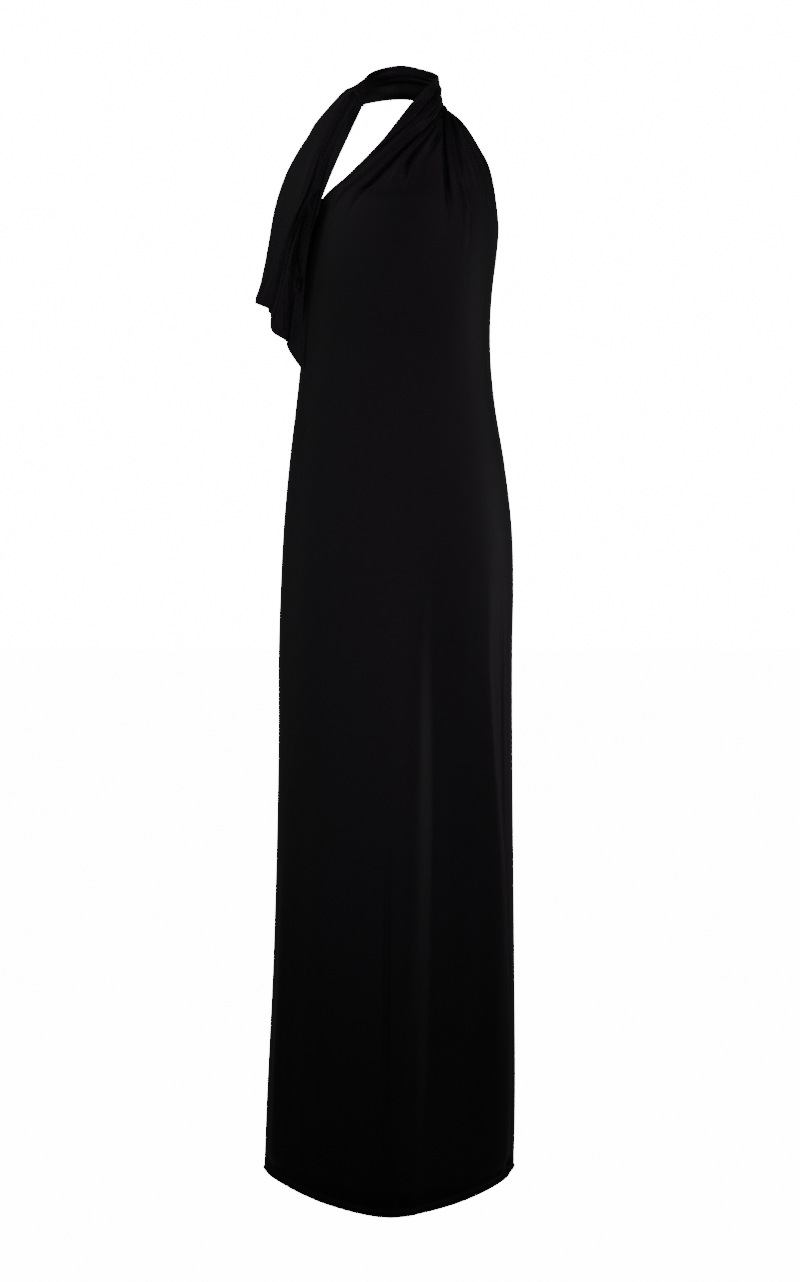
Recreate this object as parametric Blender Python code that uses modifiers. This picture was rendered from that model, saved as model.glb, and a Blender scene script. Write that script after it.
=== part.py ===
"""A floor-length jersey dress with a one-sided halter neck and a draped shoulder cape.

Run it with: blender --background --python part.py

Metres, +Z up. The wearer faces -Y, and +X is the wearer's left. The origin is the middle of
the wearer's neck, level with the middle of the neck band at the sides.

Four pieces are cut and sewn: the front panel, whose gathered end wraps the left side of the
neck, the back panel, the band behind the neck, and the cape that hangs from the band over the
right shoulder. Each is a sheet of cloth, lofted through its sections as an open surface and
given its thickness by Solidify.
"""

import math

import bpy
import numpy as np

WALL = 0.0014
SEAM_GAP = 0.0003
PIECE_COLOUR = (0.0055, 0.0055, 0.006, 1.0)
PIECE_ROUGHNESS = 0.62

# The body of the dress, as sections across it.
# z, half width, middle in x, reach in front, reach behind, fullness (2 is an ellipse)
BODY_SECTIONS = (
    (-0.120, 0.1180, 0.0070, 0.097, 0.074, 2.10),
    (-0.150, 0.1243, 0.0070, 0.105, 0.082, 2.10),
    (-0.185, 0.1286, 0.0053, 0.111, 0.090, 2.10),
    (-0.225, 0.1296, 0.0011, 0.113, 0.094, 2.10),
    (-0.280, 0.1283, -0.0041, 0.107, 0.092, 2.10),
    (-0.350, 0.1301, -0.0069, 0.098, 0.087, 2.15),
    (-0.420, 0.1370, -0.0076, 0.099, 0.092, 2.20),
    (-0.510, 0.1500, -0.0056, 0.104, 0.108, 2.25),
    (-0.600, 0.1594, -0.0045, 0.108, 0.119, 2.25),
    (-0.680, 0.1628, -0.0056, 0.109, 0.118, 2.20),
    (-0.770, 0.1641, -0.0077, 0.110, 0.112, 2.10),
    (-0.900, 0.1652, -0.0078, 0.112, 0.110, 2.05),
    (-1.200, 0.1721, -0.0100, 0.120, 0.115, 1.95),
    (-1.424, 0.1794, -0.0145, 0.131, 0.122, 1.80),
    (-1.545, 0.1812, -0.0180, 0.135, 0.125, 1.75),
)

# The hem's height at the sides, and how far it dips at the front and back. The dip's middle is
# turned a few degrees towards the wearer's left, and that side of the hem is a little higher.
HEM_Z = -1.5195
HEM_DIP_FRONT = 0.026
HEM_DIP_BACK = 0.008
HEM_DIP_POWER = 2.6
HEM_DIP_ANGLE = 5.0
HEM_RISE_LEFT = 0.0015
# How much of the folds is gone at the hem, from the height where they start to soften.
HEM_SOFTENING = 0.8
SOFTENING_Z = -1.40

# Folds of the skirt. Each is a soft ridge, or a trough where the height is negative.
# angle at the top, angle at the hem, half width in degrees, height, top z, full depth z
FRONT_FOLDS = (
    (5.0, 7.5, 8.0, 0.0055, -0.64, -1.15),
    (24.0, 25.0, 11.0, -0.0060, -0.60, -1.05),
    (58.0, 52.0, 9.0, 0.0040, -0.62, -1.10),
    (-8.0, -8.0, 7.0, -0.0035, -0.80, -1.30),
    (-36.0, -34.0, 10.0, 0.0022, -0.85, -1.40),
    (-56.0, -58.0, 11.0, -0.0030, -0.70, -1.30),
)
BACK_FOLDS = (
    (146.0, 143.0, 9.0, 0.0065, -0.72, -1.20),
    (168.0, 166.0, 10.0, -0.0075, -0.70, -1.15),
    (190.0, 193.0, 9.0, 0.0070, -0.70, -1.15),
    (216.0, 219.0, 10.0, -0.0060, -0.75, -1.25),
    (122.0, 119.0, 10.0, -0.0045, -0.80, -1.30),
    (240.0, 243.0, 9.0, 0.0050, -0.78, -1.25),
)

# Where the panels end at the top.
RIGHT_SEAM_TOP_Z = -0.240
LEFT_SEAM_TOP_Z = -0.182
CORNER_ANGLE = -66.0
CORNER_Z = -0.148
BACK_TOP_MID_Z = -0.330
BACK_SCOOP_POWER = 1.3
# Each panel's edge lies this far from the side seams' plane.
SIDE_SEAM_Y = 0.00025
# The front's threads turn towards the neck above FAN_START_Z, and its rows dip as the hem does
# below DIP_END_Z.
FAN_START_Z = -0.42
DIP_END_Z = -1.00

# The ring of cloth round the neck.
RING_HALF_WIDTH = 0.0550
RING_HALF_DEPTH = 0.0590
RING_FLARE = 0.007
# angle round the neck, middle height, height of the strip
RING_SECTIONS = (
    (100.0, 0.003, 0.040),
    (140.0, 0.013, 0.044),
    (180.0, 0.020, 0.046),
    (225.0, 0.012, 0.043),
    (253.0, 0.002, 0.038),
)
LEFT_SEAM_ANGLE = 100.0
RIGHT_SEAM_ANGLE = 253.0

# Threads of the front panel, from the neckline (0) to the left armhole edge (1).
# thread, place along the bust row, place down the strip at the side of the neck
THREADS = (
    (0.00, 0.00, 0.00),
    (0.20, 0.10, 0.34),
    (0.42, 0.27, 0.74),
    (0.62, 0.55, 0.86),
    (0.82, 0.77, 0.93),
    (1.00, 1.00, 1.00),
)
# The front above the bust, as sections in millimetres, from the chest to the side of the neck.
# place along the panel, then the six threads
CHEST_SECTIONS = (
    (
        0.24, (-67, -68, -113), (-31, -88, -126), (12, -100, -136),
        (58, -98, -132), (89, -80, -124), (121, -36, -110),
    ),
    (
        0.44, (-28, -78, -75), (3, -87, -86), (25, -91, -94),
        (56, -83, -87), (78, -66, -81), (103, -36, -74),
    ),
    (
        0.62, (1, -74, -39), (28, -79, -51), (40, -75, -56),
        (56, -64, -52), (68, -51, -49), (84, -30, -45),
    ),
    (
        0.76, (20, -59, -14), (44, -54, -25), (52, -48, -31),
        (57, -40, -32), (62, -33, -32), (67, -22, -29),
    ),
    (
        0.87, (42, -38, 9), (51, -27, -3), (56, -22, -16),
        (57, -20, -19), (59, -18, -21), (60, -14, -22),
    ),
)
# The two rows below the fan lie at these places along it.
ROWS_BELOW_FAN = (-0.14, 0.0)
# Gathers that fan from the neck across the front panel. A height is a share of the half width.
# A gather starts at its reach down from the neck and is whole after FULL_SHARE of the way there.
# thread, half width in threads, height at the chest, height at the neck, reach
GATHERS = (
    (0.045, 0.040, 0.34, 0.50, 0.95),
    (0.115, 0.032, -0.10, -0.55, 0.60),
    (0.165, 0.040, -0.34, -0.10, 0.95),
    (0.225, 0.036, 0.20, 0.50, 0.70),
    (0.295, 0.034, -0.12, -0.55, 0.50),
    (0.365, 0.036, 0.20, 0.45, 0.60),
    (0.560, 0.060, -0.24, -0.10, 0.75),
    (0.640, 0.036, -0.40, -0.20, 0.90),
    (0.715, 0.036, 0.44, 0.30, 0.95),
    (0.785, 0.032, -0.22, -0.20, 0.75),
    (0.850, 0.036, 0.32, 0.20, 0.90),
    (0.925, 0.036, -0.20, -0.10, 0.80),
)
GATHER_FULL_SHARE = 0.55
NECK_HEIGHTS_FROM = 0.45
NECK_HEIGHTS_WHOLE = 0.85

# Folds along the neck band: place down the strip, half width, height at its left and right ends.
BAND_ROLLS = (
    (0.10, 0.11, 0.0014, 0.0004),
    (0.32, 0.11, 0.0014, 0.0012),
    (0.55, 0.11, -0.0004, -0.0022),
    (0.78, 0.14, 0.0012, 0.0016),
)

# The cape, as sections in millimetres, from the neck to its hem. Its eight threads follow the
# front edge, the outer side of the inner fold, both sides of the middle fold, the inner side and
# the crest of the outer fold, the back of the shoulder, and the back edge.
CAPE_THREADS = (0.0, 0.11, 0.20, 0.30, 0.37, 0.46, 0.72, 1.0)
CAPE_STATIONS = (0.0, 0.06, 0.14, 0.25, 0.38, 0.51, 0.65, 0.83, 1.0)
CAPE_SECTIONS = (
    (
        (-51, 3, -19), (-51, 3, -10), (-51, 3, -3), (-51, 4, 7),
        (-51, 5, 13), (-52, 10, 20), (-51.6, 15.4, 3), (-51.8, 15.4, -18),
    ),
    (
        (-52, -8, -13), (-55, -6, -9), (-56, -6, -5), (-59, -3, 1),
        (-60, 1, 4), (-64, 10, 9), (-66, 18, 1), (-60, 20, -15),
    ),
    (
        (-53, -24, -23), (-61, -22, -13), (-62, -26, -11), (-68, -24, -7),
        (-69, -19, -5), (-79, -2, -4), (-78, 28, -6), (-71, 44, -13),
    ),
    (
        (-67, -47, -56), (-85, -32, -54), (-88, -42, -55), (-96, -40, -55),
        (-100, -34, -54), (-118, -4, -51), (-109, 30, -49), (-88, 55, -49),
    ),
    (
        (-89, -54, -104), (-107, -38, -101), (-109, -52, -102), (-121, -49, -103),
        (-127, -40, -102), (-146, -6, -101), (-140, 45, -97), (-107, 80, -97),
    ),
    (
        (-107, -34, -151), (-127, -28, -151), (-129, -45, -152), (-136, -50, -152),
        (-138, -36, -152), (-162, -10, -149), (-155, 55, -149), (-112, 98, -146),
    ),
    (
        (-123, 4, -205), (-147, -8, -208), (-145, -32, -210), (-155, -42, -210),
        (-156, -22, -208), (-173, -10, -203), (-164, 62, -209), (-108, 112, -209),
    ),
    (
        (-135, 30, -279), (-160, 12, -276), (-155, -20, -273), (-171, -32, -270),
        (-170, -8, -264), (-185, -8, -250), (-170, 66, -264), (-108, 120, -276),
    ),
    (
        (-143, 32, -375), (-176, 8, -349), (-156, -16, -337), (-182, -28, -321),
        (-178, -4, -296), (-199, -6, -284), (-171, 68, -302), (-108, 122, -348),
    ),
)
# Folds at the back of the cape: thread, half width, height at the neck end, height at the hem
CAPE_FOLDS = (
    (0.560, 0.030, -0.0004, -0.0080),
    (0.630, 0.030, 0.0004, 0.0090),
    (0.700, 0.030, -0.0004, -0.0090),
    (0.775, 0.034, 0.0004, 0.0100),
    (0.850, 0.034, -0.0004, -0.0090),
    (0.930, 0.034, 0.0004, 0.0080),
)

FRONT_COLUMNS = 36
FRONT_ROW_Z = (
    HEM_Z, -1.500, -1.420, -1.310, -1.190, -1.070, -0.960, -0.860, -0.770, -0.690,
    -0.610, -0.540, -0.470, -0.405, -0.345, -0.295, -0.255, -0.225, -0.200,
)
FAN_ROWS = 15
BACK_COLUMNS = 22
BACK_ROWS = 20
BAND_COLUMNS = 18
BAND_ROWS = 10
CAPE_COLUMNS = 44
CAPE_ROWS = 20
CAPE_ROW_CROWDING = 1.35


def eased(low, high, value):
    """0 below low, 1 above high, and a smooth step between."""
    share = np.clip((np.asarray(value, float) - low) / (high - low), 0.0, 1.0)
    return share * share * (3.0 - 2.0 * share)


def through(stations, values, at):
    """A smooth curve through a table's values."""
    stations, values, at = (np.asarray(a, float) for a in (stations, values, at))
    steps = np.diff(stations)
    slopes = np.diff(values) / steps
    tangents = np.concatenate([slopes[:1], (slopes[:-1] + slopes[1:]) / 2, slopes[-1:]])
    at = np.clip(at, stations[0], stations[-1])
    i = np.clip(np.searchsorted(stations, at, side="right") - 1, 0, len(steps) - 1)
    t = (at - stations[i]) / steps[i]
    h = steps[i]
    return (
        values[i] * (1 + 2 * t) * (1 - t) ** 2
        + tangents[i] * h * t * (1 - t) ** 2
        + values[i + 1] * t * t * (3 - 2 * t)
        + tangents[i + 1] * h * t * t * (t - 1)
    )


def column(table, index):
    """One named column of a table, lowest place first."""
    return np.array(sorted((row[0], row[index]) for row in table))[:, 1]


def places(table):
    """A table's first column, lowest first."""
    return np.array(sorted(row[0] for row in table))


def bump(distance, half_width):
    """A soft ridge, 1 high at its middle and nothing beyond twice its half width."""
    x = np.clip(np.abs(distance) / (2.0 * half_width), 0.0, 1.0)
    return (1.0 - x * x) ** 2


def body_point(angle, z, out=0.0):
    """A point of the dress's body. Angle 0 is the middle of the front and 90 the wearer's left side."""
    angle, z = np.broadcast_arrays(np.asarray(angle, float), np.asarray(z, float))
    half, middle, front, behind, fullness = (
        through(places(BODY_SECTIONS), column(BODY_SECTIONS, k), z) for k in range(1, 6)
    )
    turn = np.radians(angle)
    s, c = np.sin(turn), np.cos(turn)
    power = 2.0 / fullness
    reach = np.where(c >= 0, front, behind)
    x = middle + half * np.sign(s) * np.abs(s) ** power
    y = -reach * np.sign(c) * np.abs(c) ** power
    nx, ny = s / half, -c / reach
    length = np.hypot(nx, ny)
    return np.stack([x + out * nx / length, y + out * ny / length, z], axis=-1)


def fold_height(folds, angle, z):
    """How far the skirt's folds stand out at an angle and height."""
    total = np.zeros(np.broadcast(angle, z).shape)
    for top_angle, hem_angle, half, height, top_z, full_z in folds:
        share = eased(-top_z, -full_z, -z) * (1.0 - HEM_SOFTENING * eased(-SOFTENING_Z, -HEM_Z, -z))
        middle = top_angle + (hem_angle - top_angle) * eased(-top_z, -HEM_Z, -z)
        total += height * share * bump(angle - middle, half)
    return total


def hem_z(angle):
    """The height of the hem, which dips at the middle of the front and back."""
    c = np.cos(np.radians(angle - HEM_DIP_ANGLE))
    dip = np.where(c >= 0, HEM_DIP_FRONT, HEM_DIP_BACK)
    return HEM_Z - dip * np.abs(c) ** HEM_DIP_POWER + HEM_RISE_LEFT * np.sin(np.radians(angle))


def right_edge_angle(z):
    """The front panel's right edge: the side seam, then the armhole up to the neckline's corner."""
    return -90.0 + (CORNER_ANGLE + 90.0) * eased(RIGHT_SEAM_TOP_Z, CORNER_Z, z)


def ring_point(angle, down, out=0.0):
    """A point of the strip round the neck. down is 0 at its top edge and 1 at its lower edge."""
    angle, down = np.broadcast_arrays(np.asarray(angle, float), np.asarray(down, float))
    middle, height = (through(places(RING_SECTIONS), column(RING_SECTIONS, k), angle) for k in (1, 2))
    turn = np.radians(angle)
    grow = RING_FLARE * (down - 0.5) + out
    x = (RING_HALF_WIDTH + grow) * np.sin(turn)
    y = -(RING_HALF_DEPTH + grow) * np.cos(turn)
    return np.stack([x, y, middle + height * (0.5 - down)], axis=-1)


def gather_height(thread, along, width):
    """How far the gathers stand out, where width is that of a whole run of threads."""
    total = np.zeros(np.broadcast(thread, along).shape)
    for middle, half, chest_height, neck_height, reach in GATHERS:
        grown = eased(1.0 - reach, 1.0 - (1.0 - GATHER_FULL_SHARE) * reach, along)
        near_neck = eased(NECK_HEIGHTS_FROM, NECK_HEIGHTS_WHOLE, along)
        share = chest_height * grown * (1.0 - near_neck) + neck_height * near_neck
        total += share * half * bump(thread - middle, half)
    return total * width


def band_height(down, share):
    """How far the band's rolls stand out. share is 0 at its left seam and 1 at its right seam."""
    total = np.zeros(np.broadcast(down, share).shape)
    for middle, half, left_height, right_height in BAND_ROLLS:
        height = left_height + (right_height - left_height) * eased(0.0, 0.5, share)
        total += height * bump(down - middle, half)
    return total


def outward(grid):
    """The unit normal at each point of a grid of points, facing away from the wearer."""
    along = np.gradient(grid, axis=0)
    across = np.gradient(grid, axis=1)
    normal = np.cross(across, along)
    return normal / np.maximum(np.linalg.norm(normal, axis=-1, keepdims=True), 1e-12)


def front_panel():
    """The front, from the hem up to the neck seam, with its gathers."""
    thread = np.linspace(0.0, 1.0, FRONT_COLUMNS + 1)
    on_bust, on_neck = (through(places(THREADS), column(THREADS, k), thread) for k in (1, 2))
    bust_z = CORNER_Z + (LEFT_SEAM_TOP_Z - CORNER_Z) * eased(0.0, 1.0, on_bust)

    rows = []
    low, high = FRONT_ROW_Z[0], FRONT_ROW_Z[-1]
    for z in FRONT_ROW_Z:
        rise = eased(FAN_START_Z, high, z)
        row_z = z + (bust_z - high) * rise
        edge = right_edge_angle(row_z[0])
        plain_angle = -90.0 + 180.0 * thread
        fan_angle = edge + (90.0 - edge) * on_bust
        angle = plain_angle + (fan_angle - plain_angle) * rise
        row_z = row_z + (hem_z(angle) - HEM_Z) * (1.0 - eased(low, DIP_END_Z, z))
        row = body_point(angle, row_z, fold_height(FRONT_FOLDS, angle, row_z))
        row[:, 1] = np.minimum(row[:, 1], -SIDE_SEAM_Y)
        rows.append(row)

    chest = np.array([row[1:] for row in CHEST_SECTIONS], float) / 1000.0
    stations = [*ROWS_BELOW_FAN, *(row[0] for row in CHEST_SECTIONS), 1.0]
    end = ring_point(LEFT_SEAM_ANGLE - math.degrees(SEAM_GAP / RING_HALF_WIDTH), on_neck)
    across = np.empty((len(CHEST_SECTIONS), len(thread), 3))
    for i in range(len(CHEST_SECTIONS)):
        for k in range(3):
            across[i, :, k] = through(places(THREADS), chest[i, :, k], thread)
    guides = np.concatenate([[rows[-2], rows[-1]], across, [end]])
    fan = np.linspace(0.0, 1.0, FAN_ROWS + 1)[1:]
    upper = np.empty((FAN_ROWS, len(thread), 3))
    for j in range(len(thread)):
        for k in range(3):
            upper[:, j, k] = through(stations, guides[:, j, k], fan)

    grid = np.concatenate([np.array(rows), upper])
    along = np.concatenate([np.zeros(len(rows)), fan])[:, None]
    width = np.linalg.norm(np.gradient(grid, axis=1), axis=-1) * FRONT_COLUMNS
    return grid + outward(grid) * gather_height(thread[None, :], along, width)[..., None]


def back_panel():
    """The back, from the hem up to its low top edge."""
    angle = np.linspace(90.0, 270.0, BACK_COLUMNS + 1)
    across = np.linspace(0.0, 1.0, BACK_COLUMNS + 1)
    side_z = LEFT_SEAM_TOP_Z + (RIGHT_SEAM_TOP_Z - LEFT_SEAM_TOP_Z) * across
    scoop = np.sin(np.pi * across) ** BACK_SCOOP_POWER
    top_z = side_z + (BACK_TOP_MID_Z - side_z) * scoop
    rows = []
    for i in range(BACK_ROWS + 1):
        share = i / BACK_ROWS
        z = hem_z(angle) * (1 - share) + top_z * share
        row = body_point(angle, z, fold_height(BACK_FOLDS, angle, z))
        row[:, 1] = np.maximum(row[:, 1], SIDE_SEAM_Y)
        rows.append(row)
    return np.array(rows)


def neck_band():
    """The strip behind the neck, from the front panel's gathered end to the cape."""
    gap = math.degrees(SEAM_GAP / RING_HALF_WIDTH)
    angle = np.linspace(LEFT_SEAM_ANGLE + gap, RIGHT_SEAM_ANGLE - gap, BAND_COLUMNS + 1)
    down = np.linspace(1.0, 0.0, BAND_ROWS + 1)
    share = np.linspace(0.0, 1.0, BAND_COLUMNS + 1)
    down, angle = np.meshgrid(down, angle, indexing="ij")
    return ring_point(angle, down, band_height(down, share[None, :]))


def cape():
    """The draped cape, from the band over the right shoulder to its free hem."""
    guides = np.array(CAPE_SECTIONS, float) / 1000.0
    thread = np.linspace(0.0, 1.0, CAPE_COLUMNS + 1)
    across = np.empty((len(CAPE_SECTIONS), len(thread), 3))
    for i in range(len(CAPE_SECTIONS)):
        for k in range(3):
            across[i, :, k] = through(CAPE_THREADS, guides[i, :, k], thread)
    down = np.linspace(0.0, 1.0, CAPE_ROWS + 1) ** CAPE_ROW_CROWDING
    grid = np.empty((len(down), len(thread), 3))
    for j in range(len(thread)):
        for k in range(3):
            grid[:, j, k] = through(CAPE_STATIONS, across[:, j, k], down)
    height = np.zeros(grid.shape[:2])
    for middle, half, neck_height, hem_height in CAPE_FOLDS:
        grown = neck_height + (hem_height - neck_height) * eased(0.15, 1.0, down)
        height += grown[:, None] * bump(thread - middle, half)[None, :]
    return grid - outward(grid) * height[..., None]


def cloth(name, grid, material, collection):
    """A sheet of cloth through a grid of points, as an open surface with Solidify."""
    rows, columns = grid.shape[:2]
    faces = [
        (i * columns + j, i * columns + j + 1, (i + 1) * columns + j + 1, (i + 1) * columns + j)
        for i in range(rows - 1)
        for j in range(columns - 1)
    ]
    mesh = bpy.data.meshes.new(name)
    mesh.from_pydata(grid.reshape(-1, 3).tolist(), [], faces)
    mesh.materials.append(material)
    mesh.shade_smooth()
    sheet = bpy.data.objects.new(name, mesh)
    collection.objects.link(sheet)
    wall = sheet.modifiers.new("Wall", "SOLIDIFY")
    wall.thickness = WALL
    wall.offset = 0.0
    return sheet


def jersey(name):
    """Matte black jersey."""
    material = bpy.data.materials.new(name)
    material.use_nodes = True
    shader = material.node_tree.nodes["Principled BSDF"]
    shader.inputs["Base Color"].default_value = PIECE_COLOUR
    shader.inputs["Roughness"].default_value = PIECE_ROUGHNESS
    shader.inputs["Metallic"].default_value = 0.0
    return material


def main():
    for old in list(bpy.data.objects):
        bpy.data.objects.remove(old)
    dress = bpy.data.collections.new("halter_maxi_dress")
    bpy.context.scene.collection.children.link(dress)
    cloth("front_panel", front_panel(), jersey("front_jersey"), dress)
    cloth("back_panel", back_panel(), jersey("back_jersey"), dress)
    cloth("neck_band", neck_band(), jersey("band_jersey"), dress)
    cloth("shoulder_cape", cape(), jersey("cape_jersey"), dress)


main()
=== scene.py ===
# %% [markdown]
# # A black jersey halter dress
# A floor-length dress in matte black jersey, worn on an unseen figure. A maker cuts four pieces:
# a front panel whose long top end is gathered round the left side of the neck, a back panel with
# a low scooped top, a strip that lies behind the neck, and a cape that hangs from that strip over
# the right shoulder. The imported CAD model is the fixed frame. Each of its four solids is replaced
# here by a thin sheet of cloth on the same form, with its folds, seams, stitches and knit.

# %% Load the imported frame
import math

import bpy
import numpy as np
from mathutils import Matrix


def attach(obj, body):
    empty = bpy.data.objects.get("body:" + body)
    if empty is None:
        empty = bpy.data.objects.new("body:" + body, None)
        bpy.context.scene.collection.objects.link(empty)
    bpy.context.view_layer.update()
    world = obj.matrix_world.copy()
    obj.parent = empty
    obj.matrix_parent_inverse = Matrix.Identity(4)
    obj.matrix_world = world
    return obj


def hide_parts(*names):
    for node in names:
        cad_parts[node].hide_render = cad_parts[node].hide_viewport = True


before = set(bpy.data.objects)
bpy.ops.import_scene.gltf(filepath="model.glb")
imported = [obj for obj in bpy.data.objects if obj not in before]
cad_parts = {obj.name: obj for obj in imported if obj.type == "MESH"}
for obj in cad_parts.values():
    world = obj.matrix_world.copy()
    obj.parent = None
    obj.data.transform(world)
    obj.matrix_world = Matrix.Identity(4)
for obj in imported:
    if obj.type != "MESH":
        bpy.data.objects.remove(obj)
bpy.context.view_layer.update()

# %% [markdown]
# ## Curves through a table
# Every shape below is a short table of sizes. A smooth curve through a column of the table gives
# the size at any place between its rows. A fold is a profile across a line: soft for cloth that
# rolls, and pinched where two rolls meet in a sharp valley.

# %% Curves, steps and fold profiles
WALL = 0.0010


def eased(low, high, value):
    """0 below low, 1 above high, and a smooth step between."""
    share = np.clip((np.asarray(value, float) - low) / (high - low), 0.0, 1.0)
    return share * share * (3.0 - 2.0 * share)


def through(stations, values, at):
    """A smooth curve through a table's values."""
    stations, values, at = (np.asarray(a, float) for a in (stations, values, at))
    steps = np.diff(stations)
    slopes = np.diff(values) / steps
    tangents = np.concatenate([slopes[:1], (slopes[:-1] + slopes[1:]) / 2, slopes[-1:]])
    at = np.clip(at, stations[0], stations[-1])
    i = np.clip(np.searchsorted(stations, at, side="right") - 1, 0, len(steps) - 1)
    t = (at - stations[i]) / steps[i]
    h = steps[i]
    return (
        values[i] * (1 + 2 * t) * (1 - t) ** 2
        + tangents[i] * h * t * (1 - t) ** 2
        + values[i + 1] * t * t * (3 - 2 * t)
        + tangents[i + 1] * h * t * t * (t - 1)
    )


def places(table):
    """A table's first column, lowest first."""
    return np.array(sorted(row[0] for row in table))


def column(table, index):
    """One column of a table, in the order of its first."""
    return np.array(sorted((row[0], row[index]) for row in table))[:, 1]


def soft(x):
    """A rounded ridge: 1 in the middle and 0 at x = 1."""
    return (1.0 - x * x) ** 2


def pinched(x):
    """A sharp line between two rounded rolls: 1 in the middle and 0 at x = 1."""
    return 1.0 - np.sin(x * np.pi / 2.0)


def hollow(x):
    """A flat-bottomed trough with steep walls: 1 in the middle and 0 at x = 1."""
    return 1.0 - eased(0.40, 1.0, x)


def outward(grid):
    """The unit normal at each point of a grid of points, facing away from the wearer."""
    along = np.gradient(grid, axis=0)
    across = np.gradient(grid, axis=1)
    normal = np.cross(across, along)
    return normal / np.maximum(np.linalg.norm(normal, axis=-1, keepdims=True), 1e-12)


def crease_relief(row, thread, width, creases, full_width=0.0):
    """How far a table of creases stands out, in metres, on a grid of rows and threads.

    width is the local width of the whole grid, so a crease keeps its size in millimetres.
    Where the cloth is gathered to less than full_width, its creases crowd together.
    """
    crowding = np.clip(width / full_width, 0.5, 1.0) if full_width else 1.0
    total = np.zeros(np.broadcast(row, thread).shape)
    for height, left, right, profile, fade, path in creases:
        path = sorted(path)
        start, end = path[0][0], path[-1][0]
        middle = through([p[0] for p in path], [p[1] for p in path], row)
        distance = (thread - middle) * width
        half = np.where(distance < 0, left, right) / 1000.0 * crowding
        x = np.clip(np.abs(distance) / half, 0.0, 1.0)
        share = eased(start, start + fade, row) * (1.0 - eased(end - fade, end, row))
        total += height / 1000.0 * share * profile(x)
    return total


# %% [markdown]
# ## Black jersey
# The cloth is a fine viscose jersey, dyed black and knitted in one direction, so its face is
# matte with a faint bloom at grazing angles. Its rows of loops stand 0.9 mm apart. They are drawn
# 1.4 mm apart here, because finer ones would vanish in the render. The dye takes a little
# unevenly, and lint and handling leave faint cloudy patches.

# %% Material helpers
def linear(code):
    """A colour for a shader from its sRGB hex code."""
    parts = [int(code[i:i + 2], 16) / 255.0 for i in (1, 3, 5)]
    return [p / 12.92 if p <= 0.04045 else ((p + 0.055) / 1.055) ** 2.4 for p in parts] + [1.0]


def add_node(tree, kind, settings=None, links=None):
    """Add a node. Settings go to its sockets or properties, and links to its inputs."""
    node = tree.nodes.new(kind)
    for name, value in (settings or {}).items():
        if isinstance(name, int) or name in node.inputs:
            node.inputs[name].default_value = value
        else:
            setattr(node, name, value)
    for name, source in (links or {}).items():
        tree.links.new(source, node.inputs[name])
    return node


# %% The jersey's material
LOOP_SPACING = 0.0014
DYE_DARK = "#080608"
DYE_LIGHT = "#0c0a0c"


def jersey(name, dark=DYE_DARK, light=DYE_LIGHT):
    """Dyed black viscose jersey: matte, knitted, with a faint sheen."""
    material = bpy.data.materials.new(name)
    material.use_nodes = True
    tree = material.node_tree
    shader = tree.nodes["Principled BSDF"]
    shader.inputs["Metallic"].default_value = 0.0
    shader.inputs["IOR"].default_value = 1.45
    shader.inputs["Specular IOR Level"].default_value = 0.16
    shader.inputs["Sheen Weight"].default_value = 0.050
    shader.inputs["Sheen Roughness"].default_value = 0.45
    shader.inputs["Sheen Tint"].default_value = linear("#dccddc")
    # Black dye on viscose has a slight plum cast.
    shader.inputs["Specular Tint"].default_value = linear("#fff3ff")
    place = add_node(tree, "ShaderNodeTexCoord")
    clouds = add_node(
        tree, "ShaderNodeTexNoise", {"Scale": 9.0, "Detail": 4.0, "Roughness": 0.6},
        {"Vector": place.outputs["Object"]},
    )
    lint = add_node(
        tree, "ShaderNodeTexNoise", {"Scale": 900.0, "Detail": 2.0, "Roughness": 0.7},
        {"Vector": place.outputs["Object"]},
    )
    cloudy = add_node(tree, "ShaderNodeMath", {"operation": "MULTIPLY", 1: 0.4}, {0: clouds.outputs["Fac"]})
    blend = add_node(
        tree, "ShaderNodeMath", {"operation": "MULTIPLY_ADD", 1: 0.6},
        {0: lint.outputs["Fac"], 2: cloudy.outputs[0]},
    )
    ramp = add_node(tree, "ShaderNodeValToRGB", {}, {"Fac": blend.outputs[0]})
    ramp.color_ramp.elements[0].position = 0.35
    ramp.color_ramp.elements[0].color = linear(dark)
    ramp.color_ramp.elements[1].position = 0.65
    ramp.color_ramp.elements[1].color = linear(light)
    tree.links.new(ramp.outputs["Color"], shader.inputs["Base Color"])
    nap = add_node(
        tree, "ShaderNodeMapRange", {"To Min": 0.58, "To Max": 0.62}, {"Value": clouds.outputs["Fac"]},
    )
    tree.links.new(nap.outputs["Result"], shader.inputs["Roughness"])
    # A wave texture repeats every 2 pi / (20 x scale), so this scale gives the loops' spacing.
    scale = 2.0 * math.pi / (20.0 * LOOP_SPACING)
    wales = add_node(
        tree, "ShaderNodeTexWave", {"bands_direction": "X", "Scale": scale, "Distortion": 0.3},
        {"Vector": place.outputs["UV"]},
    )
    courses = add_node(
        tree, "ShaderNodeTexWave", {"bands_direction": "Y", "Scale": scale * 1.3, "Distortion": 0.3},
        {"Vector": place.outputs["UV"]},
    )
    knit = add_node(
        tree, "ShaderNodeMath", {"operation": "MULTIPLY"},
        {0: wales.outputs["Fac"], 1: courses.outputs["Fac"]},
    )
    bump = add_node(
        tree, "ShaderNodeBump", {"Strength": 0.40, "Distance": 0.00012}, {"Height": knit.outputs[0]},
    )
    tree.links.new(bump.outputs["Normal"], shader.inputs["Normal"])
    return material


front_jersey = jersey("front_black_jersey")
back_jersey = jersey("back_black_jersey")
band_jersey = jersey("band_black_jersey")
cape_jersey = jersey("cape_black_jersey")
print("Jersey loops are drawn", LOOP_SPACING * 1000, "mm apart")

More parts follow.
